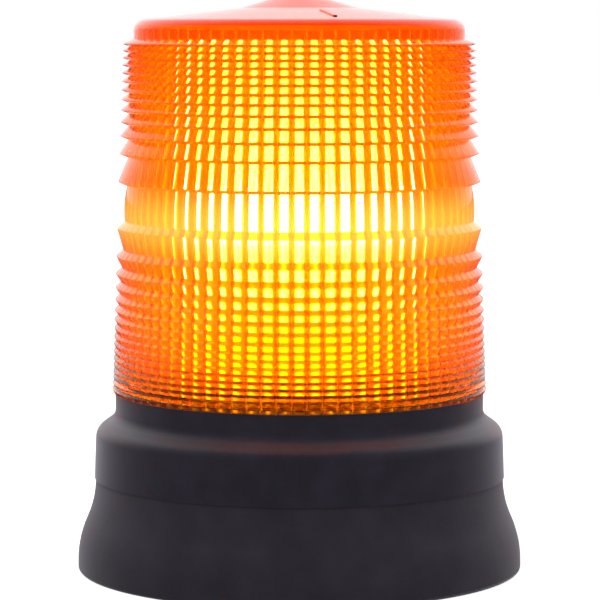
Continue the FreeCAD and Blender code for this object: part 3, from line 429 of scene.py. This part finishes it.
def dome(path, side_top):
    """The cap's shoulder, the gentle cone and the raised crown in its middle."""
    brow = side_top + DOME_SHOULDER
    slope_end = brow + DOME_RISE
    crown = slope_end + CROWN_HEIGHT
    corners = [(DOME_RADIUS, side_top - DOME_SIDE), (DOME_RADIUS, brow), (CROWN_RADIUS, slope_end)]
    corners += [(CROWN_TOP_RADIUS, crown), (0, crown)]
    path.dome_start = len(path.rows) + DOME_FINISH_STEP
    path.smooth(rounded(*corners[0:3], DOME_SHOULDER, SHOULDER_STEPS))
    path.smooth(rounded(*corners[1:4], CROWN_ROUND, CROWN_STEPS))
    path.smooth(rounded(*corners[2:5], CROWN_ROUND, CROWN_STEPS))


def flute_radius(radius, phase):
    """Radius of the scalloped inner wall at a phase of 0 to 1 across one flute."""
    return radius - FLUTE_DEPTH * (1 - abs(2 * phase - 1) ** FLUTE_POWER)


def add_ring(mesh, radii, height):
    """A ring of points, one for each column; the radii are taken in turn round it."""
    ring = []
    for c in range(COLUMNS):
        radius = radii[c % len(radii)]
        angle = FIRST_ANGLE + 2 * math.pi * c / COLUMNS
        ring.append(mesh.verts.new((radius * math.cos(angle), radius * math.sin(angle), height)))
    return ring


def add_band(mesh, lower, upper, slot):
    """The faces between two rings, facing out when the lower one is given first."""
    for c in range(COLUMNS):
        d = (c + 1) % COLUMNS
        mesh.faces.new((lower[c], lower[d], upper[d], upper[c])).material_index = slot


def inner_rings(mesh, top):
    """Rings of the fluted wall, from the ledge above the spigot to the ceiling, and of the sloped ceiling."""
    ceiling = top - CROWN_HEIGHT - DOME_RISE - DOME_WALL
    rings = []
    for level in range(WALL_LEVELS + 1):
        share = level / WALL_LEVELS
        radius = SPIGOT_BORE - FLUTE_STEP - FLUTE_DRAFT * share
        radii = [flute_radius(radius, i / COLUMNS_PER_FLUTE) for i in range(COLUMNS_PER_FLUTE)]
        rings.append(add_ring(mesh, radii, lens_foot + (ceiling - lens_foot) * share))
    edge = SPIGOT_BORE - FLUTE_STEP - FLUTE_DRAFT - CEILING_INSET
    rise = DOME_RISE * (edge - CROWN_RADIUS) / (DOME_RADIUS - CROWN_RADIUS)
    rings.append(add_ring(mesh, [edge], ceiling))
    rings.append(add_ring(mesh, [CROWN_RADIUS], ceiling + rise))
    return rings


def make_lens():
    """The drum with its dome and flutes as one closed skin; its mark and threads are solids let into it."""
    path = outer_path()
    mesh = bmesh.new()
    outer = [add_ring(mesh, [radius], height) for radius, height in path.rows]
    crown = mesh.verts.new((0, 0, path.rows[-1][1]))
    inner = inner_rings(mesh, path.rows[-1][1])
    vault = mesh.verts.new((0, 0, inner[-1][0].co.z))
    for row, (lower, upper) in enumerate(zip(outer, outer[1:])):
        add_band(mesh, lower, upper, DOME if row >= path.dome_start else DRUM)
    for lower, upper in zip([outer[0]] + inner, inner):
        add_band(mesh, upper, lower, FLUTED)
    for c in range(COLUMNS):
        d = (c + 1) % COLUMNS
        mesh.faces.new((outer[-1][c], outer[-1][d], crown)).material_index = DOME
        mesh.faces.new((inner[-1][d], inner[-1][c], vault)).material_index = FLUTED
    bmesh.ops.recalc_face_normals(mesh, faces=mesh.faces)
    for face in mesh.faces:
        face.smooth = True
    mesh.edges.ensure_lookup_table()
    mesh.verts.index_update()
    for ring in [outer[row] for row in sorted(path.creases)] + [inner[0], *inner[-3:]]:
        for c in range(COLUMNS):
            mesh.edges.get((ring[c], ring[(c + 1) % COLUMNS])).smooth = False
    for lower, upper in zip(inner[:WALL_LEVELS], inner[1 : WALL_LEVELS + 1]):
        for c in range(0, COLUMNS, COLUMNS_PER_FLUTE):
            mesh.edges.get((lower[c], upper[c])).smooth = False
    add_mark(mesh)
    add_threads(mesh)
    data = bpy.data.meshes.new("lens_drum")
    mesh.to_mesh(data)
    mesh.free()
    made = bpy.data.objects.new("lens_drum", data)
    scene.collection.objects.link(made)
    for finish in (amber_polycarbonate(), fluted_polycarbonate(), thick_polycarbonate()):
        data.materials.append(finish)
    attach(made, "lens")
    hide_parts("lens")


def add_shell(mesh, sections):
    """A closed solid through rings of points, each ring the same shape moved on."""
    rings = [[mesh.verts.new(point) for point in section] for section in sections]
    made = [mesh.faces.new(rings[0][::-1]), mesh.faces.new(rings[-1])]
    for lower, upper in zip(rings, rings[1:]):
        for i in range(len(lower)):
            j = (i + 1) % len(lower)
            made.append(mesh.faces.new((lower[i], lower[j], upper[j], upper[i])))
    bmesh.ops.recalc_face_normals(mesh, faces=made)


def turned(x, y, z, angle):
    """A point moved round the axis by this angle in radians."""
    return (x * math.cos(angle) - y * math.sin(angle), x * math.sin(angle) + y * math.cos(angle), z)


def add_mark(mesh):
    """The small raised rib on the dome, towards the front."""
    slope = DOME_RISE / (DOME_RADIUS - CROWN_RADIUS)
    top = lens_high.z - CROWN_HEIGHT
    half = MARK_WIDTH / 2
    outline = arc((MARK_START, 0), half, 90, 270, MARK_STEPS)
    outline += arc((MARK_START + MARK_LENGTH, 0), half, -90, 90, MARK_STEPS)
    sections = []
    for lift, width in ((-MARK_HEIGHT, 1.0), (0.6 * MARK_HEIGHT, 1.0), (MARK_HEIGHT, 0.6)):
        points = [(x, y * width, top - slope * (x - CROWN_RADIUS) + lift) for x, y in outline]
        sections.append([turned(*point, math.radians(MARK_ANGLE)) for point in points])
    add_shell(mesh, sections)


def add_threads(mesh):
    """The ridges on the spigot that screw the lens into the neck."""
    half = THREAD_WIDTH / 2
    root, crest = SPIGOT_RADIUS - THREAD_SINK, SPIGOT_RADIUS + THREAD_HEIGHT
    middle = lens_foot - THREAD_BELOW_FOOT
    outline = [(root, -half), (SPIGOT_RADIUS, -half), (crest, THREAD_SLOPE - half)]
    outline += [(crest, half - THREAD_SLOPE), (SPIGOT_RADIUS, half), (root, half)]
    for start in range(THREAD_STARTS):
        sections = []
        for step in range(THREAD_STEPS + 1):
            turn = THREAD_ARC * step / THREAD_STEPS
            angle = math.radians(360 / THREAD_STARTS * start + turn)
            height = middle + THREAD_LEAD * turn / 360
            sections.append([turned(radius, 0, height + z, angle) for radius, z in outline])
        add_shell(mesh, sections)


make_lens()

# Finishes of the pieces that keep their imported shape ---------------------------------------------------

abs_black = moulded_abs()
epdm = moulded_epdm()
# Cold-formed steel, zinc plated: a bright grey shine, a little blue.
plated = plain("zinc_plated_steel", "#b9bcc0", 0.3, 1.0, 0.3, 0.004)
# Drawn or stamped brass, nickel plated: a smoother, warmer shine.
nickel = plain("nickel_plated_brass", "#c9c6bb", 0.25, 1.0, 0.3, 0.003)
finishes = {
    "rubber_skirt": epdm,
    "base_housing": abs_black,
    "bottom_plate": abs_black,
    # Rubber cut from cord and from sheet: dry and dull, with no shine edge-on.
    "lens_seal": plain("cut_epdm_seal", "#19181a", 0.7),
    "plate_seal": plain("die_cut_gasket", "#1d1c1e", 0.75),
    "plate_screws": plated,
    "board_screws": plated,
    "pillar_screws": plated,
    # Turned brass, left bare: yellow, with the tool's fine polish.
    "mounting_inserts": plain("turned_brass", "#c7a456", 0.25, 1.0, 0.3, 0.004),
    "lamp_pillar": opal_pbt_painted_glow(),
    # Coated card, pressed to shape: plain off-white, so that the base's inside looks light.
    "component_cover": plain("pressed_white_card", "#d8d5cc", 0.6),
    "tube_socket": lit_steatite(),
    "flash_tube": lit_xenon(),
    "tube_cover": etched_glass(),
    # Drawn tungsten: dark grey metal, hardly polished.
    "tube_electrodes": plain("drawn_tungsten", "#8e8c88", 0.35, 1.0),
    "trigger_wire": nickel,
    # PVC extruded over wire: an even half-gloss.
    "tube_leads": plain("extruded_pvc_black", "#1b1b1d", 0.45),
    "supply_lead_black": plain("extruded_pvc_black_supply", "#1b1b1d", 0.45),
    "supply_lead_red": plain("extruded_pvc_red", "#a41d18", 0.45),
    # Glass laminate under a cured green mask: smooth and a little glossy.
    "circuit_board": plain("solder_masked_laminate", "#1c5a34", 0.4),
    # PVC sleeve shrunk on a can: tight, dark blue and glossy.
    "main_capacitor": plain("heat_shrunk_pvc_sleeve", "#1b2b52", 0.35),
    # Ferrite, pressed and sintered: matt charcoal.
    "transformer_core": plain("sintered_ferrite", "#2a2a2c", 0.6),
    # Copper wire in clear enamel: a red-brown metal shine.
    "transformer_winding": plain("enamelled_copper", "#b5622c", 0.3, 0.8),
    # Epoxy, cast in a pot: blue and glossy.
    "trigger_coil": plain("cast_epoxy_blue", "#223f7a", 0.3),
    # Filled epoxy, transfer moulded: black and satin.
    "power_transistor": plain("moulded_epoxy_black", "#18181a", 0.5),
    # Polypropylene, moulded: black with a waxy satin.
    "battery_tray": plain("moulded_black_polypropylene", "#202022", 0.5),
    # Steel cans under a printed film: half metal, dark and smooth.
    "battery_cells": plain("printed_steel_can", "#2b2d33", 0.3, 0.6),
    "contact_plates": nickel,
    "contact_springs": nickel,
    # Nylon, moulded: a dry satin.
    "switch_body": plain("moulded_black_nylon", "#1a1a1c", 0.45),
    "switch_button": plain("moulded_red_nylon", "#8c1d18", 0.4),
    "switch_nut": nickel,
}
for node, finish in finishes.items():
    data = nodes[node].data
    data.materials.clear()
    data.materials.append(finish)

# Floor, world and lamps ---------------------------------------------------------------------------------

SCREEN_FALL, SCREEN_LEVEL, ROOM_LEVEL = 4.0, 1.05, 0.08
SKY_LEVEL = 0.55  # what the world adds to the plain light on the object
PAPER, PAPER_GLOW, PAPER_IN_GLOSS = "#e7e7e7", 0.75, "#6c6c6c"
FLOOR_SIZE, FLOOR_GAP = 12.0, 0.05 * MM
AIM = Vector((0, 0, 0.1))


def seen(tree, *kinds):
    """1 for rays of these kinds, such as those from the camera or through glass; else 0."""
    path = add(tree, "LightPath")
    level = path.outputs[f"Is {kinds[0]} Ray"]
    for kind in kinds[1:]:
        pair = {0: level, 1: path.outputs[f"Is {kind} Ray"]}
        level = add(tree, "Math", pair, operation="MAXIMUM").outputs[0]
    return level


def make_world():
    """White all round for the eye and through glass. Gloss shows a white screen that curves up behind and
    over the object, and a dim room on the other sides."""
    world = bpy.data.worlds.new("studio")
    scene.world = world
    world.use_nodes = True
    tree = world.node_tree
    tree.nodes.clear()
    place = add(tree, "TexCoord")
    way = add(tree, "SeparateXYZ", {0: place.outputs["Generated"]})
    back = add(tree, "Math", {0: way.outputs["Y"], 1: way.outputs["Z"]}, operation="ADD").outputs[0]
    back = add(tree, "Clamp", {0: back}).outputs[0]
    screen = add(tree, "Math", {0: back, 1: SCREEN_FALL}, operation="POWER").outputs[0]
    gloss = add(tree, "MapRange", {"Value": screen, "To Min": ROOM_LEVEL, "To Max": SCREEN_LEVEL}).outputs[0]
    level = add(tree, "Mix", {0: seen(tree, "Glossy"), 2: SKY_LEVEL, 3: gloss}).outputs[0]
    level = add(tree, "Mix", {0: seen(tree, "Camera", "Transmission"), 2: level, 3: 1.0}).outputs[0]
    shade = add(tree, "Background", {"Color": colour("#ffffff"), "Strength": level})
    add(tree, "OutputWorld", {"Surface": shade.outputs[0]})


def make_floor():
    """Matt white paper that takes the object's shadow, and shows dim in its gloss."""
    made, tree = blank("matt_white_paper")
    lit = add(tree, "BsdfDiffuse", {"Color": colour(PAPER)}).outputs[0]
    glow = add(tree, "Emission", {"Color": colour("#ffffff"), "Strength": PAPER_GLOW}).outputs[0]
    both = add(tree, "AddShader", {0: lit, 1: glow}).outputs[0]
    dim = add(tree, "BsdfDiffuse", {"Color": colour(PAPER_IN_GLOSS)}).outputs[0]
    shown = add(tree, "MixShader", {0: seen(tree, "Camera", "Transmission"), 1: lit, 2: both}).outputs[0]
    shown = add(tree, "MixShader", {0: seen(tree, "Glossy"), 1: shown, 2: dim}).outputs[0]
    add(tree, "OutputMaterial", {"Surface": shown})
    bpy.ops.mesh.primitive_plane_add(size=FLOOR_SIZE, location=(0, 0, -FLOOR_GAP))
    floor = bpy.context.object
    floor.name = "floor"
    floor.data.materials.append(made)


def make_lamp(name, place, size, power):
    """A square soft lamp aimed at the lens; gloss shows the world instead of it."""
    data = bpy.data.lights.new(name, "AREA")
    data.size, data.energy = size, power
    lamp = bpy.data.objects.new(name, data)
    lamp.location = place
    lamp.visible_glossy = False
    lamp.rotation_euler = (AIM - Vector(place)).to_track_quat("-Z", "Y").to_euler()
    scene.collection.objects.link(lamp)


make_world()
make_floor()
make_lamp("key", (-1.1, -1.2, 1.5), 1.2, 14)
make_lamp("fill", (1.3, -0.9, 1.1), 1.4, 8)
scene.view_settings.view_transform = "Standard"
